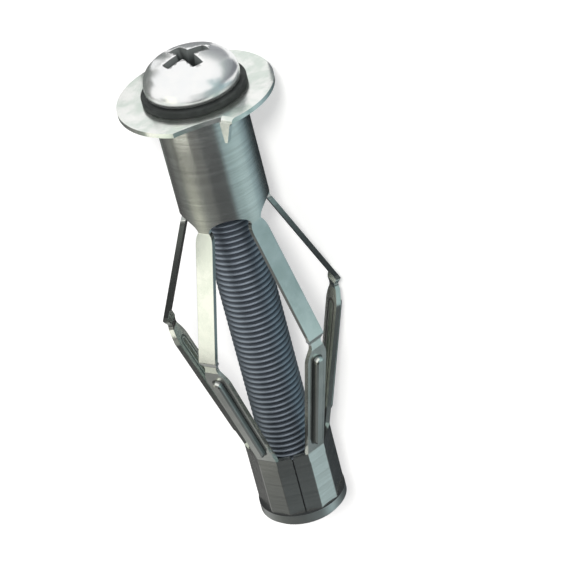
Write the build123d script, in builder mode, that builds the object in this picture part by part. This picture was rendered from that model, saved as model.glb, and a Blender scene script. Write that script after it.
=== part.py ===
from build123d import *
from math import asin, atan2, cos, degrees, hypot, radians, sin, sqrt, tan
import os

# A hollow wall anchor, slightly spread, lying on its flange rim and two of its knees.
# Each piece is built upright: local Z is the anchor's axis and points out of the screw head,
# the top face of the flange is z = 0, and a distance named "depth" runs down from that face.
# Local azimuth 0 is the middle of the slot that carries the collar's seam.

# Sheet-metal sleeve
sheet = 0.5
bend_chamfer = 0.3
leg_count = 5
flange_r = 8.05
barrel_r = 4.7
barrel_depth = 14.0
arch_rise = 1.25
collar_r = 4.7
collar_depth = 43.0
collar_height = 7.2

# The two holding teeth cut from the flange's rim and bent down
tooth_count = 2
tooth_azimuth = 17.0
tooth_root_r = 6.9
tooth_cut_angle = 38.0
tooth_cut_r = 16.0
tooth_slant = 5.0
tooth_lean = 10.0
tooth_length = 2.7
tooth_shoulder = 1.0
tooth_shoulder_r = 0.5
tooth_tip_inset = 0.12
tooth_tip_width = 0.3
tooth_bend_r = 0.4

# Legs, flat strips between the barrel and the collar
neck_width = 1.3
shoulder_length = 1.3
upper_width = 2.0
waist_width = 1.5
lower_width = 2.6
lower_spread_length = 1.6
knee_r = 9.75
knee_depth = 26.6
knee_step = 0.3
knee_step_length = 0.6
landing_length = 0.8
fold_r = 0.5
crease_r = 0.12
rib_width = 1.3
rib_height = 0.6
rib_top_gap = 1.3
rib_foot_gap = 1.1
rib_slope = 12.0
rib_edge = 0.15
rib_hollow_width = 0.6

# Collar facets and seam
slot_half_angle = 22.0
facet_edge_r = 0.3
seam_width = 0.15
seam_notch_r = 0.22

# Screw
thread_d = 6.0
thread_pitch = 0.65
thread_depth = 0.38
turns_per_ridge = 3
ridge_sides = 30
ridge_core_inset = 0.2
screw_tip_depth = 53.0
tip_chamfer = 0.8
head_d = 9.8
head_rim = 0.75
head_height = 3.5
head_edge = 0.15
head_shoulder_r = 2.2
recess_span = 5.0
recess_width = 1.3
recess_depth = 2.3
recess_slope = 6.0
recess_end_slope = 26.5
recess_azimuth = 26.0

# Washer
washer_d = 10.8
washer_thickness = 0.75
washer_edge = 0.12

# Nut
nut_set_back = 0.8
nut_ring_d = 9.5
nut_ring_thickness = 1.5
nut_ring_chamfer = 0.4
nut_entry_chamfer = 0.4

# Clearances: the first two on the radius, the play along the axis
thread_clearance = 0.05
washer_clearance = 0.15
washer_play = 0.02

barrel_bore_r = barrel_r - sheet
shank_r = thread_d / 2
leg_azimuths = [360 / leg_count * (k + 0.5) for k in range(leg_count)]
slot_azimuths = [360 / leg_count * k for k in range(leg_count)]
leg_sector = 360 / leg_count - 2 * slot_half_angle
collar_bottom = collar_depth + collar_height
under_head = washer_thickness + washer_play


# Sleeve: flange and barrel, one turned-out edge on a tube
with BuildPart() as flange_barrel:
    with BuildSketch(Plane.XZ):
        with BuildLine():
            Polyline(
                (barrel_bore_r, -barrel_depth),
                (barrel_bore_r, 0),
                (flange_r, 0),
                (flange_r, -sheet),
                (barrel_r, -sheet),
                (barrel_r, -barrel_depth),
                close=True,
            )
        make_face()
        chamfer(vertices().sort_by_distance((barrel_bore_r, 0))[0], sheet)
        chamfer(vertices().sort_by_distance((barrel_r, -sheet))[0], bend_chamfer)
    revolve(axis=Axis.Z)

    # Arched ends of the slots, cut up into the barrel between the leg necks
    neck_half_angle = degrees(asin(neck_width / 2 / barrel_r))
    arch_half_span = barrel_r * sin(radians(180 / leg_count - neck_half_angle))
    for azimuth in slot_azimuths:
        outward = Plane(origin=(0, 0, -barrel_depth), x_dir=(-sin(radians(azimuth)), cos(radians(azimuth)), 0),
                        z_dir=(cos(radians(azimuth)), sin(radians(azimuth)), 0))
        with BuildSketch(outward):
            Ellipse(arch_half_span, arch_rise)
        extrude(amount=2 * barrel_r, mode=Mode.SUBTRACT)


# Sleeve: one holding tooth, a sliver of the rim cut free in a flat arc and bent down at its root
def rim_point(radius, azimuth):
    return (radius * cos(radians(azimuth)), radius * sin(radians(azimuth)))


def inner_face(outer_points, thickness):
    """The same open line moved sideways by the thickness, its corners kept sharp."""
    ways = [(Vector(*end) - Vector(*start)).normalized() for start, end in zip(outer_points, outer_points[1:])]
    moved = []
    for k, point in enumerate(outer_points):
        before = ways[max(k - 1, 0)]
        after = ways[min(k, len(ways) - 1)]
        middle = (before + after).normalized()
        side = Vector(middle.Y, -middle.X)
        moved.append(Vector(*point) + side * (thickness / middle.dot(after)))
    return [(point.X, point.Y) for point in moved]


fold_start = Vector(*rim_point(tooth_root_r, tooth_azimuth))
fold_end = Vector(*rim_point(flange_r, tooth_azimuth + tooth_slant))
fold_way = (fold_end - fold_start).normalized()
fold_side = Vector(0, 0, 1).cross(fold_way)
fold_length = (fold_end - fold_start).length

with BuildPart() as tooth_cut:
    with BuildSketch(Plane.XY.offset(-sheet)):
        with BuildLine():
            cut_start = Vector(*rim_point(flange_r, tooth_azimuth - tooth_cut_angle))
            bend_start = fold_start + fold_side * tooth_bend_r
            RadiusArc(cut_start, fold_start, tooth_cut_r)
            Polyline(
                fold_start,
                bend_start,
                bend_start + fold_way * flange_r,
                2 * cut_start,
                cut_start,
            )
        make_face()
    extrude(amount=sheet)

with BuildPart() as tooth:
    # the bent strip, drawn across the fold line
    tip_shift = tooth_length * sin(radians(tooth_lean))
    tip_drop = tooth_length * cos(radians(tooth_lean))
    strip_face = [(-tip_shift, -tip_drop), (0, 0), (2 * sheet, 0)]
    strip_back = inner_face(strip_face, sheet)
    with BuildSketch(Plane(origin=fold_start, x_dir=fold_side, z_dir=fold_way)):
        with BuildLine():
            Polyline(*strip_face, *reversed(strip_back), close=True)
        make_face()
        fillet(vertices().sort_by_distance(strip_face[1])[0], tooth_bend_r)
    extrude(amount=2 * fold_length, both=True)

    # the tooth's outline, seen along the strip's side face
    with BuildSketch(Plane(origin=fold_start + fold_side * 2 * sheet, x_dir=fold_way, z_dir=-fold_side)):
        with BuildLine():
            shoulder = (tooth_shoulder, -sheet)
            outer_tip = (tooth_tip_inset + tooth_tip_width, -tip_drop)
            Polyline(
                (-sheet / 2, 0),
                (2 * fold_length, 0),
                (2 * fold_length, -sheet),
                shoulder,
                outer_tip,
                (tooth_tip_inset, -tip_drop),
                (-sheet / 2, -sheet - bend_chamfer),
                close=True,
            )
        make_face()
        fillet(vertices().sort_by_distance(shoulder)[0], tooth_shoulder_r)
        fillet(vertices().sort_by_distance(outer_tip)[0], tooth_tip_width / 2)
    extrude(amount=2 * sheet + tip_shift, mode=Mode.INTERSECT)
    with BuildSketch(Plane.XY):
        Circle(flange_r)
    extrude(amount=-tooth_length, mode=Mode.INTERSECT)


# Sleeve: one leg, a strip with two folds at its ends and a grooved knee
neck_x = sqrt(barrel_r ** 2 - (neck_width / 2) ** 2)
collar_leg_x = collar_r * cos(radians(leg_sector / 2))
waist_depth = knee_depth + knee_step_length
landing_r = knee_r - knee_step
landing_depth = waist_depth + landing_length
root_overlap = 1.0
lower_tilt = atan2(landing_r - collar_leg_x, collar_depth - landing_depth)
lower_length = hypot(landing_r - collar_leg_x, collar_depth - landing_depth)


leg_face = [
    (neck_x, root_overlap - barrel_depth),
    (neck_x, -barrel_depth),
    (knee_r, -knee_depth),
    (landing_r, -waist_depth),
    (landing_r, -landing_depth),
    (collar_leg_x, -collar_depth),
    (collar_leg_x, -collar_depth - root_overlap),
]
leg_back = inner_face(leg_face, sheet)

with BuildPart() as leg:
    with BuildSketch(Plane.XZ):
        with BuildLine():
            Polyline(*leg_face, *reversed(leg_back), close=True)
        make_face()
        for fold in (leg_face[1], leg_face[5], leg_back[1], leg_back[5]):
            fillet(vertices().sort_by_distance(fold)[0], fold_r)
        for crease in (*leg_face[2:5], *leg_back[2:5]):
            fillet(vertices().sort_by_distance(crease)[0], crease_r)
    extrude(amount=lower_width / 2, both=True)

    # the strip's outline, seen along the radius
    with BuildSketch(Plane.YZ):
        with BuildLine() as half_outline:
            top = root_overlap - barrel_depth
            foot = -collar_depth - root_overlap
            foot_half = collar_r * sin(radians(leg_sector / 2))
            Polyline((0, top), (neck_width / 2, top), (neck_width / 2, -barrel_depth))
            Spline(
                (neck_width / 2, -barrel_depth),
                (upper_width / 2, -barrel_depth - shoulder_length),
                tangents=[(1, -1), (0, -1)],
            )
            Line((upper_width / 2, -barrel_depth - shoulder_length), (upper_width / 2, -knee_depth))
            Spline(
                (upper_width / 2, -knee_depth),
                (waist_width / 2, -waist_depth),
                (lower_width / 2, -landing_depth - lower_spread_length),
                tangents=[(0, -1), (0.1, -1)],
            )
            Polyline((lower_width / 2, -landing_depth - lower_spread_length), (foot_half, -collar_depth),
                     (foot_half, foot), (0, foot), (0, top))
        make_face()
        mirror(about=Plane.YZ)
    extrude(amount=2 * knee_r, mode=Mode.INTERSECT)

    # raised rib on the lower half, hollow behind
    rib_length = lower_length - rib_top_gap - rib_foot_gap
    rib_middle = rib_top_gap + rib_length / 2
    face_plane = Plane(
        origin=(landing_r - rib_middle * sin(lower_tilt), 0, -landing_depth - rib_middle * cos(lower_tilt)),
        x_dir=(-sin(lower_tilt), 0, -cos(lower_tilt)),
        z_dir=(cos(lower_tilt), 0, -sin(lower_tilt)),
    )
    with BuildSketch(face_plane.offset(-sheet / 2)):
        SlotOverall(rib_length, rib_width)
    extrude(amount=rib_height + sheet / 2, taper=rib_slope)
    rib_top = faces().sort_by(lambda f: face_plane.to_local_coords(f.center()).Z)[-1]
    chamfer(rib_top.edges(), rib_edge)
    with BuildSketch(face_plane.offset(-2 * sheet)):
        SlotOverall(rib_length - 2 * sheet, rib_hollow_width)
    extrude(amount=2 * sheet, mode=Mode.SUBTRACT)


# Sleeve: collar, a ten-sided tube pressed round the nut, with the sheet's two ends meeting in a seam
def collar_outline(radius):
    corners = []
    for azimuth in slot_azimuths:
        corners.append(rim_point(radius, azimuth - slot_half_angle))
        corners.append(rim_point(radius, azimuth + slot_half_angle))
    return corners


with BuildPart() as collar:
    with BuildSketch(Plane.XY.offset(-collar_bottom)):
        Polygon(*collar_outline(collar_r), align=None)
    extrude(amount=collar_height)
    fillet(edges().filter_by(Axis.Z), facet_edge_r)
    with BuildSketch(Plane.XY.offset(-collar_bottom)):
        Polygon(*collar_outline(collar_r), align=None)
        offset(amount=-sheet, kind=Kind.INTERSECTION, mode=Mode.REPLACE)
    extrude(amount=collar_height, mode=Mode.SUBTRACT)
    with BuildSketch(Plane.YZ):
        with Locations((0, -collar_bottom + collar_height / 2)):
            Rectangle(seam_width, collar_height)
        with Locations((0, -collar_depth)):
            Circle(seam_notch_r)
    extrude(amount=2 * collar_r, mode=Mode.SUBTRACT)

with BuildPart() as sleeve:
    add(flange_barrel.part)
    with PolarLocations(0, tooth_count):
        add(tooth_cut.part, mode=Mode.SUBTRACT)
    with PolarLocations(0, tooth_count):
        add(tooth.part)
    with PolarLocations(0, leg_count, start_angle=leg_azimuths[0]):
        add(leg.part)
    add(collar.part)


# Nut: a bush that fills the collar and ends in a round ring below it
with BuildPart() as nut:
    with BuildSketch(Plane.XY.offset(-collar_bottom)):
        Polygon(*collar_outline(collar_r), align=None)
        offset(amount=-sheet, kind=Kind.INTERSECTION, mode=Mode.REPLACE)
    extrude(amount=collar_height - nut_set_back)
    with BuildSketch(Plane.XY.offset(-collar_bottom)):
        Circle(nut_ring_d / 2)
    extrude(amount=-nut_ring_thickness)
    chamfer(edges().group_by(Axis.Z)[0], nut_ring_chamfer)
    with Locations((0, 0, -collar_depth)):
        Hole(shank_r + thread_clearance, depth=2 * collar_height)
    chamfer(edges().filter_by(GeomType.CIRCLE).group_by(Axis.Z)[-1], nut_entry_chamfer)


# Washer
with BuildPart() as washer:
    with BuildSketch(Plane.XY):
        Circle(washer_d / 2)
        Circle(shank_r + washer_clearance, mode=Mode.SUBTRACT)
    extrude(amount=washer_thickness)
    chamfer(edges().filter_by(GeomType.CIRCLE).filter_by(lambda e: e.radius > shank_r + washer_clearance), washer_edge)


# Screw: domed head on a shank whose ridges stand for every third turn of the fine thread
head_r = head_d / 2
head_top = under_head + head_height
dome_rise = head_height - head_rim
shoulder_centre = Vector(head_r - head_shoulder_r, under_head + head_rim)
crown_r = (shoulder_centre.X ** 2 + dome_rise ** 2 - head_shoulder_r ** 2) / (2 * (dome_rise - head_shoulder_r))
crown_centre = Vector(0, head_top - crown_r)
crown_end = crown_centre + (shoulder_centre - crown_centre).normalized() * crown_r
ridge_step = turns_per_ridge * thread_pitch
ridge_count = int((collar_depth - barrel_depth) / ridge_step)
ridged_foot = -collar_depth
ridged_top = ridged_foot + ridge_count * ridge_step
core_r = shank_r - thread_depth - ridge_core_inset
ridge_slope = degrees(atan2(thread_depth, ridge_step / 2))
with BuildPart() as ridge:
    for side in (1, -1):
        with BuildSketch(Plane.XY):
            RegularPolygon(shank_r, ridge_sides)
        extrude(amount=side * ridge_step / 2, taper=ridge_slope)

# cross recess, narrower towards its floor, its four ends on one cone
recess_end_run = tan(radians(recess_end_slope))
recess_top_r = recess_span / 2 + (crown_r - sqrt(crown_r ** 2 - (recess_span / 2) ** 2)) * recess_end_run
with BuildPart() as recess:
    recess_plane = Plane(origin=(0, 0, head_top), x_dir=(*rim_point(1, recess_azimuth), 0), z_dir=(0, 0, 1))
    with BuildSketch(recess_plane):
        Rectangle(2 * recess_top_r, recess_width)
        Rectangle(recess_width, 2 * recess_top_r)
    extrude(amount=-recess_depth, taper=recess_slope)
    with Locations((0, 0, head_top)):
        Cone(recess_top_r - recess_depth * recess_end_run, recess_top_r, recess_depth,
             align=(Align.CENTER, Align.CENTER, Align.MAX), mode=Mode.INTERSECT)

with BuildPart() as screw:
    with BuildSketch(Plane.XZ):
        with BuildLine():
            Polyline(
                (0, head_top),
                (0, -screw_tip_depth),
                (shank_r - tip_chamfer, -screw_tip_depth),
                (shank_r, -screw_tip_depth + tip_chamfer),
                (shank_r, ridged_foot),
                (core_r, ridged_foot),
                (core_r, ridged_top),
                (shank_r, ridged_top),
                (shank_r, under_head),
                (head_r, under_head),
                (head_r, under_head + head_rim),
            )
            # shoulder and crown, two arcs that meet in one tangent
            RadiusArc((head_r, under_head + head_rim), crown_end, -head_shoulder_r)
            RadiusArc(crown_end, (0, head_top), -crown_r)
        make_face()
        chamfer(vertices().sort_by_distance((head_r, under_head))[0], head_edge)
    revolve(axis=Axis.Z)
    with Locations([(0, 0, ridged_foot + (k + 0.5) * ridge_step) for k in range(ridge_count)]):
        add(ridge.part)
    add(recess.part, mode=Mode.SUBTRACT)


# Lying on the flange's rim and two knees, one leg straight up, head towards +X and slightly down
half_leg_step = radians(180 / leg_count)
knee_reach_down = knee_r * cos(half_leg_step) + upper_width / 2 * sin(half_leg_step)
lean = atan2(knee_reach_down - flange_r, knee_depth)
lying = Plane(
    origin=(0, 0, 0),
    x_dir=(sin(lean) * cos(half_leg_step), -sin(half_leg_step), cos(lean) * cos(half_leg_step)),
    z_dir=(cos(lean), 0, -sin(lean)),
)
pieces = (sleeve, nut, washer, screw)
extent = Compound([piece.part.moved(lying.location) for piece in pieces]).bounding_box()
to_origin = Location((-extent.center().X, -extent.center().Y, -extent.min.Z))

os.makedirs("parts", exist_ok=True)
sleeve.part.label = "sleeve"
nut.part.label = "nut"
washer.part.label = "washer"
screw.part.label = "screw"
for piece in pieces:
    placed = piece.part.moved(to_origin * lying.location)
    placed.label = piece.part.label
    export_step(placed, f"parts/{placed.label}.step")
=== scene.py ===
from math import cos, pi, radians, sin, tau

import bmesh
import bpy
from mathutils import Matrix, Vector


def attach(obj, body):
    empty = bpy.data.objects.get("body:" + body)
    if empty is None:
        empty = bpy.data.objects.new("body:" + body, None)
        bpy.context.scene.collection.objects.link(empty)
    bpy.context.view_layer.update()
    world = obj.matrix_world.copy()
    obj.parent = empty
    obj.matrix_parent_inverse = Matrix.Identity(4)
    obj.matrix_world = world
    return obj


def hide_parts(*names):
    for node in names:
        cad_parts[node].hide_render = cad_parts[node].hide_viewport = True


# A hollow wall anchor lying on its flange rim and two of its knees, head towards +X.
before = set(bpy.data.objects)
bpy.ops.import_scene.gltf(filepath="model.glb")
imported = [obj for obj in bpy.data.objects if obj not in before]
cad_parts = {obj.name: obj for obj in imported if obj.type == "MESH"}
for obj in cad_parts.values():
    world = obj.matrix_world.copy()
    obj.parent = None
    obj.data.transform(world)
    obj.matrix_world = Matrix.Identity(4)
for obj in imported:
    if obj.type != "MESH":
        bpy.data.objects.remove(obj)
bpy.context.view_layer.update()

MM = 0.001

# The anchor's own axis: it starts in the flange's top face and points out of the screw head
FLANGE_CENTRE = Vector((0.024395, 0.000001, 0.008049))
LEAN = radians(0.91687)
AXIS = Vector((cos(LEAN), 0, -sin(LEAN)))
# The middle of the slot that carries the collar's seam
SEAM_TURN = radians(36)
SEAM_SIDE = Vector((sin(LEAN) * cos(SEAM_TURN), -sin(SEAM_TURN), cos(LEAN) * cos(SEAM_TURN))).normalized()
ACROSS = AXIS.cross(SEAM_SIDE)

# Places along the anchor, as heights above the flange's top face
UNDER_HEAD = 0.77 * MM
BELOW_FLANGE = -0.6 * MM
BARREL_END = -14.0 * MM
COLLAR_TOP = -43.0 * MM
COLLAR_FOOT = -50.2 * MM
SCREW_TIP = -53.0 * MM

BARREL_RADIUS = 4.7 * MM
BARREL_PLAY = 0.3 * MM

# Legs, each with a raised rib on its lower half
LEG_COUNT = 5
NECK_HALF_WIDTH = 0.65 * MM
SHOULDER_LENGTH = 1.3 * MM
SHOULDER_CURVE = 3.7
UPPER_LEG_END = -26.2 * MM
UPPER_LEG_HALF_WIDTH = 1.0 * MM
EDGE_DEPTH = 0.03 * MM
RIB_MIDDLE = -35.6 * MM
RIB_HALF_LENGTH = 6.35 * MM
RIB_HALF_WIDTH = 0.65 * MM
# The ribs stand farther from the axis than this
RIB_CLEARANCE = 4.2 * MM
# How dark the painted shade in the crease at the rib's foot gets, and where it starts and ends, out from the
# rib's edge
CREASE_SHADE_STRENGTH = 0.85
CREASE_SHADE_START = (-0.19 * MM, -0.10 * MM)
CREASE_SHADE_END = (0.02 * MM, 0.14 * MM)

# Screw head's crown, part of a ball, with the recess in its middle
HEAD_HEIGHT = 3.5 * MM
CROWN_RADIUS = 9.10 * MM
CROWN_CENTRE = UNDER_HEAD + HEAD_HEIGHT - CROWN_RADIUS
RECESS_REACH = 2.75 * MM
RECESS_LIP = 0.04 * MM

# Screw thread. The flanks' places are shares of the pitch, from the middle of the crest.
PITCH = 0.65 * MM
CREST_RADIUS = 3.0 * MM
ROOT_RADIUS = 2.62 * MM
TIP_RADIUS = 2.2 * MM
THREAD_TOP = UNDER_HEAD + 0.2 * MM
FLANK_FOOT = 0.4
FLANK_WIDTH = 0.3
STEPS_PER_TURN = 48
PROFILE_STEPS = 8

# Points closer than this are one point
THREAD_MERGE = 0.002 * MM
CAD_MERGE = 0.001 * MM


class Wire:
    """A node's output, which can be used in sums."""

    def __init__(self, tree, socket):
        self.tree = tree
        self.socket = socket

    def _sum(self, operation, *values):
        return self.tree.node("ShaderNodeMath", {"operation": operation}, dict(enumerate(values)))

    def __add__(self, other):
        return self._sum("ADD", self, other)

    def __sub__(self, other):
        return self._sum("SUBTRACT", self, other)

    def __mul__(self, other):
        return self._sum("MULTIPLY", self, other)

    def __truediv__(self, other):
        return self._sum("DIVIDE", self, other)

    def __pow__(self, other):
        return self._sum("POWER", self, other)

    def __lt__(self, other):
        return self._sum("LESS_THAN", self, other)

    def __gt__(self, other):
        return self._sum("GREATER_THAN", self, other)

    def __abs__(self):
        return self._sum("ABSOLUTE", self)

    def __rsub__(self, other):
        return self._sum("SUBTRACT", other, self)

    __radd__ = __add__
    __rmul__ = __mul__

    def least(self, other):
        return self._sum("MINIMUM", self, other)

    def most(self, other):
        return self._sum("MAXIMUM", self, other)

    def floored(self):
        return self._sum("FLOOR", self)

    def sine(self):
        return self._sum("SINE", self)

    def cosine(self):
        return self._sum("COSINE", self)

    def angle_from(self, other):
        """The angle of a point that lies this far up and the other far along."""
        return self._sum("ARCTAN2", self, other)

    def ramp(self, start, end):
        """0 at start, 1 at end and smooth between them."""
        return self.tree.node("ShaderNodeMapRange", {"interpolation_type": "SMOOTHSTEP"},
                              {"Value": self, "From Min": start, "From Max": end})


class Tree:
    """A node tree that is written in plain lines. It starts empty."""

    def __init__(self, tree):
        self.tree = tree
        tree.nodes.clear()

    def node(self, kind, settings=None, values=None, output=0):
        made = self.tree.nodes.new(kind)
        for name, value in (settings or {}).items():
            setattr(made, name, value)
        for place, value in (values or {}).items():
            if isinstance(value, Wire):
                self.tree.links.new(value.socket, made.inputs[place])
            else:
                made.inputs[place].default_value = value
        return Wire(self, made.outputs[output]) if made.outputs else made

    def outputs(self, kind, values=None):
        """All outputs of a new node, by their names."""
        first = self.node(kind, None, values)
        return {socket.name: Wire(self, socket) for socket in first.socket.node.outputs}

    def mix(self, factor, first, second):
        """One colour to the other, as the factor goes from 0 to 1. Numbers pick the node's colour sockets."""
        return self.node("ShaderNodeMix", {"data_type": "RGBA"}, {0: factor, 6: first, 7: second}, output=2)

    def colour_stops(self, factor, stops):
        """A colour ramp with its stops as (place, colour)."""
        made = self.tree.nodes.new("ShaderNodeValToRGB")
        ramp = made.color_ramp
        while len(ramp.elements) < len(stops):
            ramp.elements.new(0.5)
        for element, (place, colour) in zip(ramp.elements, stops):
            element.position = place
            element.color = (*colour, 1)
        self.tree.links.new(factor.socket, made.inputs[0])
        return Wire(self, made.outputs[0])


def new_material(name):
    material = bpy.data.materials.new(name)
    material.use_nodes = True
    return material


class Finish(Tree):
    """A procedural finish whose patterns follow the anchor's own axis."""

    def __init__(self, name):
        self.material = new_material(name)
        super().__init__(self.material.node_tree)
        self.place = self.node("ShaderNodeTexCoord", output="Object")
        self.from_flange = self.node("ShaderNodeVectorMath", {"operation": "SUBTRACT"},
                                     {0: self.place, 1: FLANGE_CENTRE})
        self.height = self.along(AXIS)
        east = self.along(SEAM_SIDE)
        north = self.along(ACROSS)
        self.radius = (east * east + north * north) ** 0.5
        self.turn = north.angle_from(east)

    def along(self, way):
        return self.node("ShaderNodeVectorMath", {"operation": "DOT_PRODUCT"},
                         {0: self.from_flange, 1: way}, output="Value")

    def vector(self, x, y, z):
        return self.node("ShaderNodeCombineXYZ", None, {0: x, 1: y, 2: z})

    def noise(self, vector, scale, detail, roughness):
        return self.node("ShaderNodeTexNoise", {"noise_dimensions": "3D"},
                         {"Vector": vector, "Scale": scale, "Detail": detail, "Roughness": roughness})

    def surface(self, base, roughness, metallic, relief, relief_depth, settings=None):
        bump = self.node("ShaderNodeBump", None, {"Strength": 1.0, "Distance": relief_depth, "Height": relief})
        shader = self.node("ShaderNodeBsdfPrincipled", None, {
            "Base Color": base, "Roughness": roughness, "Metallic": metallic, "Normal": bump, **(settings or {})})
        self.node("ShaderNodeOutputMaterial", None, {"Surface": shader})
        return self.material


# Finishes

def from_leg_middle(f):
    """How far a place is to the side of the middle line of the nearest leg."""
    step = tau / LEG_COUNT
    turns = f.turn / step
    from_leg = (turns - turns.floored() - 0.5) * step
    return f.radius * from_leg.sine()


def painted_edge_shade(f, aside):
    """1 on the cut edges of the legs' upper halves, where painted shade darkens the sheet, 0 elsewhere."""
    on_upper_leg = (f.height < BARREL_END) * (f.height > UPPER_LEG_END)
    left_of_shoulder = (1 - (BARREL_END - f.height) / SHOULDER_LENGTH).most(0)
    widening = UPPER_LEG_HALF_WIDTH - NECK_HALF_WIDTH
    half_width = UPPER_LEG_HALF_WIDTH - widening * left_of_shoulder ** SHOULDER_CURVE
    return on_upper_leg * (abs(aside) > half_width - EDGE_DEPTH)


def painted_rib_crease_shade(f, aside):
    """1 in the crease round the foot of each leg's raised rib, where painted shade darkens the sheet, 0
    elsewhere.
    """
    beyond = (abs(f.height - RIB_MIDDLE) - RIB_HALF_LENGTH + RIB_HALF_WIDTH).most(0)
    outside = (aside * aside + beyond * beyond) ** 0.5 - RIB_HALF_WIDTH
    on_face = f.radius > RIB_CLEARANCE
    return on_face * outside.ramp(*CREASE_SHADE_START) * (1 - outside.ramp(*CREASE_SHADE_END))


def sleeve_finish():
    """Zinc plated sheet: pale and cloudy, with drawing marks round the barrel and the collar, painted light that
    makes the flange paler, and painted shade on the legs' cut edges and in the creases round their ribs.
    """
    f = Finish("zinc_sheet")
    # Fine rings round the barrel and the collar, broken up along the way round
    rings = f.noise(f.vector(f.height * 14000, f.turn * 1.3, f.radius * 300), 1.0, 4.0, 0.65)
    broad_rings = f.noise(f.vector(f.height * 3200, f.turn * 0.6, f.radius * 100), 1.0, 3.0, 0.6)
    clouds = f.noise(f.place, 330.0, 4.0, 0.6)
    specks = f.noise(f.place, 2600.0, 2.0, 0.6)
    on_flange = f.height > BELOW_FLANGE
    on_barrel = (1 - on_flange) * (f.height > BARREL_END) * (f.radius < BARREL_RADIUS + BARREL_PLAY)
    on_collar = f.height < COLLAR_TOP
    round_part = on_barrel.most(on_collar)
    cloud = clouds.ramp(0.36, 0.64)
    # Painted light: on the flange the clouds reach paler than on the legs, which brightens the flange's face
    pale = f.mix(cloud, f.mix(on_flange, (0.76, 0.79, 0.74, 1), (0.69, 0.76, 0.70, 1)),
                 f.mix(on_flange, (0.88, 0.89, 0.85, 1), (0.93, 0.94, 0.91, 1)))
    drawn = f.mix(broad_rings.ramp(0.3, 0.7), (0.68, 0.69, 0.66, 1), (0.80, 0.81, 0.78, 1))
    plated = f.mix(round_part, pale, drawn)
    aside = from_leg_middle(f)
    # Painted shade: the legs' cut edges are darkened so that they show no bright glints
    plated_with_edge_shade = f.mix(painted_edge_shade(f, aside), plated, (0.40, 0.42, 0.41, 1))
    # Painted shade: the creases round the ribs are darkened to near black
    base = f.mix(painted_rib_crease_shade(f, aside) * CREASE_SHADE_STRENGTH, plated_with_edge_shade, (0.10, 0.11, 0.11, 1))
    roughness = 0.15 + 0.03 * cloud + 0.02 * specks + 0.03 * on_flange + round_part * 0.04 * rings
    relief = round_part * (rings * 0.7 + broad_rings * 0.3) + (1 - round_part) * (clouds * 0.8 + specks * 0.05)
    return f.surface(base, roughness, 0.95, relief, 0.006 * MM)


def screw_finish():
    """Zinc plated screw: bright on the head, with painted shade that darkens its recess towards the bottom, and
    in the thread a darker, bluer copy of the zinc as painted shade, darkest in the roots.
    """
    f = Finish("zinc_screw")
    clouds = f.noise(f.place, 420.0, 3.0, 0.55)
    grain = f.noise(f.place, 3800.0, 2.0, 0.6)
    thread = f.height < UNDER_HEAD
    in_root = thread * (1 - f.radius.ramp(ROOT_RADIUS, CREST_RADIUS - 0.05 * MM))
    above_crown = f.height - CROWN_CENTRE
    from_crown = (above_crown * above_crown + f.radius * f.radius) ** 0.5
    recess = (f.radius < RECESS_REACH) * (1 - thread) * (from_crown < CROWN_RADIUS - RECESS_LIP)
    # Painted shade: the recess gets darker the deeper it goes
    deep = 1 - from_crown.ramp(CROWN_RADIUS - 1.5 * MM, CROWN_RADIUS - 0.1 * MM)
    head = f.mix(clouds.ramp(0.35, 0.7), (0.92, 0.93, 0.93, 1), (0.96, 0.96, 0.95, 1))
    hollow = f.mix(recess, head, f.mix(deep, (0.17, 0.185, 0.18, 1), (0.035, 0.04, 0.04, 1)))
    # Painted shade: the thread is a darker, bluer copy of the head's zinc, darker still in its roots
    shaded_thread_colour = f.mix(in_root, (0.36, 0.41, 0.47, 1), (0.13, 0.145, 0.175, 1))
    base = f.mix(thread, hollow, shaded_thread_colour)
    roughness = 0.20 + 0.20 * thread + 0.05 * clouds + 0.05 * grain + 0.10 * in_root + 0.25 * recess
    return f.surface(base, roughness, 0.95, clouds * 0.5 + grain * 0.5, 0.005 * MM)


def washer_finish():
    """Dark washer, matt with a faint grain."""
    f = Finish("dark_washer")
    grain = f.noise(f.place, 2600.0, 3.0, 0.6)
    wear = f.noise(f.place, 500.0, 3.0, 0.6)
    base = f.mix(wear.ramp(0.4, 0.7), (0.022, 0.025, 0.024, 1), (0.040, 0.045, 0.043, 1))
    roughness = 0.46 + 0.12 * grain + 0.06 * wear
    return f.surface(base, roughness, 0.0, grain, 0.01 * MM, {"Specular IOR Level": 0.3})


def nut_finish():
    """Turned and plated nut: rings from the lathe on its face and rim, with painted shade, dark and matt, where
    it goes into the collar.
    """
    f = Finish("zinc_nut")
    rings = f.noise(f.vector(f.height * 7000, f.turn * 1.2, f.radius * 7000), 1.0, 3.0, 0.6)
    clouds = f.noise(f.place, 320.0, 3.0, 0.6)
    metal = f.mix(clouds.ramp(0.35, 0.7), (0.70, 0.73, 0.71, 1), (0.84, 0.86, 0.83, 1))
    # Painted shade: near black and matt where the nut goes into the collar
    collar_shade = f.height > COLLAR_FOOT - 0.06 * MM
    base = f.mix(collar_shade, metal, (0.035, 0.038, 0.04, 1))
    roughness = 0.28 + 0.06 * clouds + 0.08 * rings + 0.4 * collar_shade
    return f.surface(base, roughness, 0.95 * (1 - collar_shade), rings, 0.006 * MM)


# Screw: the CAD head with its recess, on a shank with a real helical thread

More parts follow.
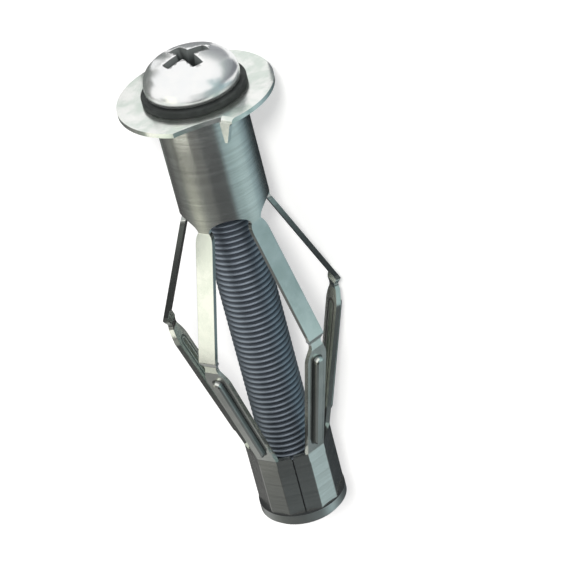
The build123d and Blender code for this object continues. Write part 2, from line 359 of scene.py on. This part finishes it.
def thread_tree():
    """A strip one profile wide, wound round the Z axis into a thread. It closes over both of its ends."""
    group = bpy.data.node_groups.new("rolled_thread", "GeometryNodeTree")
    sizes = (("Pitch", PITCH), ("Crest radius", CREST_RADIUS), ("Root radius", ROOT_RADIUS),
             ("Tip radius", TIP_RADIUS), ("Bottom", SCREW_TIP), ("Top", THREAD_TOP))
    for name, value in sizes:
        group.interface.new_socket(name, in_out="INPUT", socket_type="NodeSocketFloat").default_value = value
    steps = group.interface.new_socket("Steps per turn", in_out="INPUT", socket_type="NodeSocketInt")
    steps.default_value = STEPS_PER_TURN
    group.interface.new_socket("Finish", in_out="INPUT", socket_type="NodeSocketMaterial")
    group.interface.new_socket("Geometry", in_out="OUTPUT", socket_type="NodeSocketGeometry")
    t = Tree(group)
    size = t.outputs("NodeGroupInput")
    pitch, crest, root = size["Pitch"], size["Crest radius"], size["Root radius"]
    bottom, top = size["Bottom"], size["Top"]

    turns = ((top - bottom) / pitch).floored() + 3
    columns = turns * size["Steps per turn"] + 1
    grid = t.node("GeometryNodeMeshGrid", None,
                  {"Size X": 1.0, "Size Y": 1.0, "Vertices X": columns, "Vertices Y": PROFILE_STEPS + 1})
    place = t.outputs("ShaderNodeSeparateXYZ", {0: t.node("GeometryNodeInputPosition")})
    wound = (place["X"] + 0.5) * turns
    up_profile = place["Y"] + 0.5

    height = bottom + (wound + up_profile - 1) * pitch
    ridge = (((FLANK_FOOT - abs(up_profile - 0.5)) / FLANK_WIDTH).least(1)).most(0)
    threaded = root + ridge * (crest - root)
    tapered = size["Tip radius"] + (height - bottom)
    radius = threaded.least(tapered)
    within = (height > bottom) * (height < top)
    closed_radius = radius * within
    closed_height = height.most(bottom).least(top)
    angle = wound * tau
    placed = t.node("ShaderNodeCombineXYZ", None, {
        0: closed_radius * angle.cosine(), 1: closed_radius * angle.sine(), 2: closed_height})
    wrapped = t.node("GeometryNodeSetPosition", None, {"Geometry": grid, "Position": placed})
    joined = t.node("GeometryNodeMergeByDistance", None, {"Geometry": wrapped, "Distance": THREAD_MERGE})
    dressed = t.node("GeometryNodeSetMaterial", None, {"Geometry": joined, "Material": size["Finish"]})
    t.node("NodeGroupOutput", None, {0: dressed})
    return group


def threaded_shank(finish):
    """The thread's mesh, wound upright and then laid along the anchor's axis."""
    holder = bpy.data.objects.new("thread_holder", bpy.data.meshes.new("thread_holder"))
    bpy.context.collection.objects.link(holder)
    tree = thread_tree()
    modifier = holder.modifiers.new("thread", "NODES")
    modifier.node_group = tree
    for socket in tree.interface.items_tree:
        if socket.in_out == "INPUT" and socket.name == "Finish":
            modifier[socket.identifier] = finish
    bpy.context.view_layer.update()
    wound = holder.evaluated_get(bpy.context.evaluated_depsgraph_get())
    mesh = bpy.data.meshes.new_from_object(wound)
    bpy.data.objects.remove(holder)
    upright = Matrix((SEAM_SIDE, ACROSS, AXIS)).transposed().to_4x4()
    mesh.transform(Matrix.Translation(FLANGE_CENTRE) @ upright)
    return mesh


def screw_head():
    """A merged copy of the CAD screw from the head's underside up, its underside closed."""
    shape = bmesh.new()
    shape.from_mesh(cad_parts["screw"].data)
    bmesh.ops.remove_doubles(shape, verts=shape.verts, dist=CAD_MERGE)
    shank = [face for face in shape.faces
             if (face.calc_center_median() - FLANGE_CENTRE).dot(AXIS) < UNDER_HEAD - 0.01 * MM]
    bmesh.ops.delete(shape, geom=shank, context="FACES")
    bmesh.ops.holes_fill(shape, edges=[edge for edge in shape.edges if edge.is_boundary])
    bmesh.ops.recalc_face_normals(shape, faces=shape.faces)
    return shape


def make_screw(finish):
    shape = screw_head()
    thread = bmesh.new()
    thread.from_mesh(threaded_shank(finish))
    bmesh.ops.recalc_face_normals(thread, faces=thread.faces)
    thread_mesh = bpy.data.meshes.new("thread")
    thread.to_mesh(thread_mesh)
    shape.from_mesh(thread_mesh)
    mesh = bpy.data.meshes.new("threaded_screw")
    shape.to_mesh(mesh)
    mesh.materials.clear()
    mesh.materials.append(finish)
    for face in mesh.polygons:
        face.material_index = 0
    mesh.shade_smooth()
    mesh.set_sharp_from_angle(angle=radians(38))
    piece = bpy.data.objects.new("threaded_screw", mesh)
    bpy.context.collection.objects.link(piece)
    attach(piece, "screw_body")
    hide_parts("screw")


def dress(node, finish):
    """The CAD node keeps its shape and gets the finish."""
    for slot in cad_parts[node].material_slots:
        slot.material = finish


make_screw(screw_finish())
dress("sleeve", sleeve_finish())
dress("washer", washer_finish())
dress("nut", nut_finish())


# Studio

WHITE = (1, 1, 1, 1)
FLOOR_HALF = 3.0
FLOOR_LIFT = 0.42
WORLD_LIGHT = 0.5

# Cards stand or bend round the anchor's axis at this height and distance
AXIS_HEIGHT = 0.008
CARD_RADIUS = 0.045
ARCH_STEPS = 40

# A card that fades does so between these shares of its reach
FADE_START, FADE_END = 0.88, 1.08


def stage_piece(name, corners, faces, material):
    mesh = bpy.data.meshes.new(name)
    mesh.from_pydata(corners, [], faces)
    mesh.materials.append(material)
    piece = bpy.data.objects.new(name, mesh)
    bpy.context.collection.objects.link(piece)
    return piece


def floor_paint():
    """Diffuse floor that catches the shadow, and looks white to the eye and in the metal."""
    material = new_material("floor_paint")
    t = Tree(material.node_tree)
    ray = t.outputs("ShaderNodeLightPath")
    mirrored = ray["Is Glossy Ray"].most(ray["Is Transmission Ray"])
    paint = t.node("ShaderNodeBsdfDiffuse", None, {"Color": (0.8, 0.8, 0.8, 1)})
    lift = t.node("ShaderNodeEmission", None, {"Color": WHITE, "Strength": ray["Is Camera Ray"] * FLOOR_LIFT})
    seen = t.node("ShaderNodeAddShader", None, {0: paint, 1: lift})
    white = t.node("ShaderNodeEmission", None, {"Color": WHITE, "Strength": 1.0})
    shader = t.node("ShaderNodeMixShader", None, {0: mirrored, 1: seen, 2: white})
    t.node("ShaderNodeOutputMaterial", None, {"Surface": shader})
    return material


def studio_world():
    """White to the eye and in the metal, and a softer light on everything else."""
    world = bpy.data.worlds.new("studio")
    bpy.context.scene.world = world
    world.use_nodes = True
    t = Tree(world.node_tree)
    ray = t.outputs("ShaderNodeLightPath")
    seen = ray["Is Camera Ray"].most(ray["Is Glossy Ray"]).most(ray["Is Transmission Ray"])
    light = t.node("ShaderNodeBackground", None, {"Color": WHITE, "Strength": WORLD_LIGHT})
    white = t.node("ShaderNodeBackground", None, {"Color": WHITE, "Strength": 1.0})
    both = t.node("ShaderNodeMixShader", None, {0: seen, 1: light, 2: white})
    t.node("ShaderNodeOutputWorld", None, {"Surface": both})


def key_lamp():
    lamp = bpy.data.lights.new("key_lamp", "SUN")
    lamp.energy = 2.2
    lamp.angle = radians(10)
    lamp.color = (1.0, 0.99, 0.96)
    piece = bpy.data.objects.new("key_lamp", lamp)
    towards = Vector((0.615, -0.405, 0.690))
    piece.rotation_euler = (-towards).to_track_quat("-Z", "Y").to_euler()
    piece.visible_glossy = False
    bpy.context.collection.objects.link(piece)


stage_piece("floor", [(-FLOOR_HALF, -FLOOR_HALF, 0), (FLOOR_HALF, -FLOOR_HALF, 0),
                      (FLOOR_HALF, FLOOR_HALF, 0), (-FLOOR_HALF, FLOOR_HALF, 0)], [(0, 1, 2, 3)], floor_paint())
studio_world()
key_lamp()


def card(name, corners, faces, colours, reach=None):
    """A studio card that only shows as a reflection in the metal. Its colours follow the angle round X,
    in degrees from the far side over the top, as (angle, colour). It fades out for metal beyond its reach."""
    material = new_material(name)
    t = Tree(material.node_tree)
    place = t.outputs("ShaderNodeSeparateXYZ", {0: t.node("ShaderNodeTexCoord", output="Object")})
    angle = (place["Z"] - AXIS_HEIGHT).angle_from(place["Y"]) * (180 / pi)
    low, high = colours[0][0], colours[-1][0]
    turned = angle + 360 * (angle < low)
    stops = [((at - low) / (high - low), colour) for at, colour in colours]
    glow = t.node("ShaderNodeEmission", None,
                  {"Color": t.colour_stops((turned - low) / (high - low), stops), "Strength": 1.0})
    if reach:
        faded = t.outputs("ShaderNodeLightPath")["Ray Length"].ramp(FADE_START * reach, FADE_END * reach)
        glow = t.node("ShaderNodeMixShader", None, {0: faded, 1: glow, 2: t.node("ShaderNodeBsdfTransparent")})
    t.node("ShaderNodeOutputMaterial", None, {"Surface": glow})
    piece = stage_piece(name, corners, faces, material)
    piece.visible_camera = False
    piece.visible_diffuse = False
    piece.visible_shadow = False
    piece.visible_transmission = False
    piece.visible_volume_scatter = False


def arched_card(name, front, back, start, end, colours, radius=CARD_RADIUS):
    """A card bent round the anchor, between two angles round X."""
    corners = []
    for step in range(ARCH_STEPS + 1):
        angle = radians(start + (end - start) * step / ARCH_STEPS)
        for x in (front, back):
            corners.append((x, radius * cos(angle), AXIS_HEIGHT + radius * sin(angle)))
    faces = [(2 * step, 2 * step + 1, 2 * step + 3, 2 * step + 2) for step in range(ARCH_STEPS)]
    card(name, corners, faces, colours)


def flat_card(name, corners, colours, reach=None):
    card(name, corners, [tuple(range(len(corners)))], colours, reach)


def floor_card(name, corners, height, colours, reach=None):
    flat_card(name, [(x, y, height) for x, y in corners], colours, reach)


def oblong(back, front, near, far):
    return [(back, near), (front, near), (front, far), (back, far)]


def plain(colour):
    return [(0, colour), (360, colour)]


# Tones that more than one card has
CREAM = (1.20, 1.21, 1.08)
SHADE = (0.14, 0.145, 0.14)
DIM = (0.08, 0.08, 0.08)
DARK = (0.05, 0.055, 0.058)
TEAL = (0.40, 0.54, 0.55)
TEAL_SHADE = (0.14, 0.18, 0.19)

# Cards bent round the anchor, which give the metal its light and dark bands. Going back from the head,
# the first rows show in the barrel, the next in the legs and the thread, and the last in the collar.
# A card at the lapping radius lies inside the others and hides them.
FAR_FOOT, NEAR_FOOT = -5, 183
BARREL_ROWS_END, LEG_ROWS_START, LEG_ROWS_END, LAST_ROWS_END = -0.019, -0.0165, -0.047, -0.075
LAPPING_RADIUS = CARD_RADIUS - 0.0005
arched_card("barrel_card", -0.001, BARREL_ROWS_END, FAR_FOOT, 100, [
    (FAR_FOOT, DIM), (30, (0.18, 0.19, 0.18)), (57, (0.54, 0.55, 0.46)), (72, (0.34, 0.35, 0.31)),
    (84, (0.20, 0.21, 0.20)), (100, SHADE)])
arched_card("barrel_top_card", 0.0008, -0.0055, 30, 100, plain((0.10, 0.10, 0.09)), LAPPING_RADIUS)
arched_card("side_shade_card", 0.012, -0.001, FAR_FOOT, 45, [(FAR_FOOT, DIM), (45, (0.30, 0.31, 0.28))])
arched_card("leg_card", 0.0115, -0.001, 45, 82, plain(CREAM))
arched_card("head_cream_card", 0.030, 0.0115, 60.5, 82, plain(CREAM))
arched_card("tooth_card", 0.020, 0.0115, 47, 60.5, plain((0.27, 0.30, 0.29)))
arched_card("top_shade_card", 0.009, -0.001, 82, 100, [(82, (0.22, 0.22, 0.21)), (100, SHADE)])
arched_card("dark_band_card", 0.008, BARREL_ROWS_END, 100, 150, [
    (100, SHADE), (112, DARK), (143, DARK), (150, TEAL_SHADE)])
arched_card("cool_band_card", 0.008, LEG_ROWS_START, 150, NEAR_FOOT, [
    (150, TEAL_SHADE), (155, (0.28, 0.38, 0.40)), (NEAR_FOOT, TEAL)])
arched_card("leg_edge_card", LEG_ROWS_START, LEG_ROWS_END, FAR_FOOT, NEAR_FOOT, [
    (FAR_FOOT, DIM), (20, (0.27, 0.27, 0.26)), (45, (0.32, 0.32, 0.30)), (60, (0.20, 0.20, 0.18)),
    (72, (0.03, 0.033, 0.033)), (100, (0.015, 0.017, 0.018)), (150, (0.022, 0.027, 0.03)),
    (NEAR_FOOT, (0.04, 0.05, 0.055))])
arched_card("knee_card", -0.0245, -0.0285, 53, 65, plain((0.80, 0.82, 0.72)), LAPPING_RADIUS)
arched_card("collar_card", LEG_ROWS_END, LAST_ROWS_END, FAR_FOOT, NEAR_FOOT, [
    (FAR_FOOT, (0.36, 0.36, 0.36)), (10, (0.36, 0.36, 0.36)), (25, (0.27, 0.27, 0.27)), (42, SHADE),
    (90, (0.055, 0.06, 0.06)), (130, (0.055, 0.068, 0.073)), (168, (0.10, 0.115, 0.12)), (NEAR_FOOT, TEAL)])
arched_card("head_low_card", 0.030, 0.008, 116, NEAR_FOOT, [
    (116, (0.70, 0.70, 0.70)), (131, (0.72, 0.74, 0.74)), (146, (0.46, 0.51, 0.51)), (160, (0.28, 0.36, 0.37)),
    (NEAR_FOOT, (0.33, 0.42, 0.43))])
arched_card("head_side_card", 0.046, 0.012, FAR_FOOT, 20, [
    (FAR_FOOT, (0.17, 0.18, 0.17)), (12, (0.20, 0.21, 0.20)), (20, (0.7, 0.7, 0.7))])
flat_card("end_card", [(LAST_ROWS_END, -CARD_RADIUS, 0), (LAST_ROWS_END, CARD_RADIUS, 0),
                       (LAST_ROWS_END, CARD_RADIUS, CARD_RADIUS + AXIS_HEIGHT),
                       (LAST_ROWS_END, -CARD_RADIUS, CARD_RADIUS + AXIS_HEIGHT)], [
    (0, (0.32, 0.325, 0.32)), (60, (0.30, 0.305, 0.30)), (90, (0.12, 0.13, 0.13)), (180, (0.12, 0.13, 0.14))])
flat_card("cool_card", [(-0.17, -0.12, 0), (0.16, -0.12, 0), (0.16, -0.12, 0.03), (-0.17, -0.12, 0.03)],
          [(170, TEAL), (190, (0.30, 0.42, 0.45))])

# Cards that lie on the floor. One that laps over another lies a layer higher.
LOW_LAYER, MIDDLE_LAYER, TOP_LAYER = 0.0003, 0.0006, 0.0009
FLOOR_SPLIT = -0.018
floor_card("barrel_floor_card", oblong(FLOOR_SPLIT, 0.022, -0.12, 0.12), LOW_LAYER, [
    (182, (0.34, 0.47, 0.49)), (187, (0.42, 0.56, 0.58)), (197, (0.42, 0.55, 0.57)), (204, (0.32, 0.44, 0.47)),
    (214, (0.20, 0.28, 0.31)), (224, (0.06, 0.09, 0.10)), (236, (0.015, 0.022, 0.027)), (300, (0.02, 0.02, 0.02)),
    (340, (0.05, 0.05, 0.05)), (358, (0.10, 0.10, 0.10))])
floor_card("collar_floor_card", oblong(-0.17, FLOOR_SPLIT, -0.12, 0.12), LOW_LAYER, [
    (182, (0.40, 0.52, 0.54)), (193, (0.42, 0.53, 0.55)), (199, (0.20, 0.24, 0.25)), (208, (0.16, 0.19, 0.20)),
    (220, (0.06, 0.07, 0.075)), (240, (0.02, 0.025, 0.03)), (300, (0.03, 0.03, 0.03)), (340, (0.06, 0.06, 0.06)),
    (358, (0.14, 0.14, 0.14))])
floor_card("leg_floor_card", oblong(0.004, 0.05, -0.12, -0.032), MIDDLE_LAYER, plain((0.24, 0.35, 0.38)))


def head_card(name, corners, tone, reach=None):
    """The head's limb shows these, and the flange's face, which mirrors other places, shows none of them."""
    floor_card(name, corners, TOP_LAYER, plain(tone), reach)


head_card("head_left_card", [
    (0.0246, 0.0122), (0.0274, 0.0123), (0.0282, 0.0144), (0.0296, 0.016), (0.0308, 0.0176), (0.032, 0.0188),
    (0.0355, 0.0189), (0.038, 0.0215), (0.046, 0.041), (0.046, 0.06), (0.0, 0.06), (0.0, 0.0122),
], (0.15, 0.165, 0.155))
head_card("head_left_fade_card", [
    (0.0355, 0.0189), (0.0395, 0.0189), (0.044, 0.0215), (0.053, 0.041), (0.053, 0.06), (0.046, 0.06),
    (0.046, 0.041), (0.038, 0.0215),
], (0.45, 0.46, 0.45))
head_card("head_left_middle_card", oblong(0.0332, 0.0355, 0.0125, 0.0189), (0.17, 0.185, 0.175), 0.0172)
head_card("head_top_left_card", oblong(0.0250, 0.0328, 0.0088, 0.0119), (0.19, 0.205, 0.20))
head_card("head_top_card", oblong(0.0255, 0.0305, 0.0011, 0.008), (0.26, 0.27, 0.275))
head_card("head_top_right_card", oblong(0.0283, 0.0308, -0.0041, 0.0011), (0.29, 0.30, 0.32), 0.0079)
for number, (back, front, tone) in enumerate((
        (0.0308, 0.0330, (0.37, 0.39, 0.40)), (0.0330, 0.0346, (0.58, 0.60, 0.60)))):
    head_card(f"head_upper_right_card_{number}", oblong(back, front, -0.0041, 0.0021), tone, 0.0110)
for number, (back, front, tone) in enumerate((
        (0.0246, 0.0272, (0.16, 0.17, 0.19)), (0.0272, 0.0292, (0.26, 0.28, 0.30)),
        (0.0292, 0.0312, (0.31, 0.34, 0.35)), (0.0312, 0.0332, (0.37, 0.41, 0.41)),
        (0.0332, 0.0346, (0.52, 0.56, 0.55)), (0.0346, 0.0360, (0.75, 0.78, 0.77)))):
    head_card(f"head_right_card_{number}", oblong(back, front, -0.060, -0.0043), tone)


# Camera, from above the screw head's near side
camera_data = bpy.data.cameras.new("camera")
camera_data.sensor_width = 36.0
camera_data.lens = 190.976
camera_data.clip_start = 0.01
camera = bpy.data.objects.new("camera", camera_data)
bpy.context.collection.objects.link(camera)
camera_forward = Vector((-0.54005769, 0.51387634, -0.66653492))
camera_right = Vector((-0.22160622, -0.85083668, -0.47641119))
camera_up = Vector((0.8119288, 0.10958124, -0.57337909))
camera.matrix_world = Matrix.Translation((0.16879, -0.16388, 0.21479)) @ Matrix(
    (camera_right, camera_up, -camera_forward)).transposed().to_4x4()
bpy.context.scene.camera = camera
bpy.context.scene.view_settings.view_transform = "Standard"
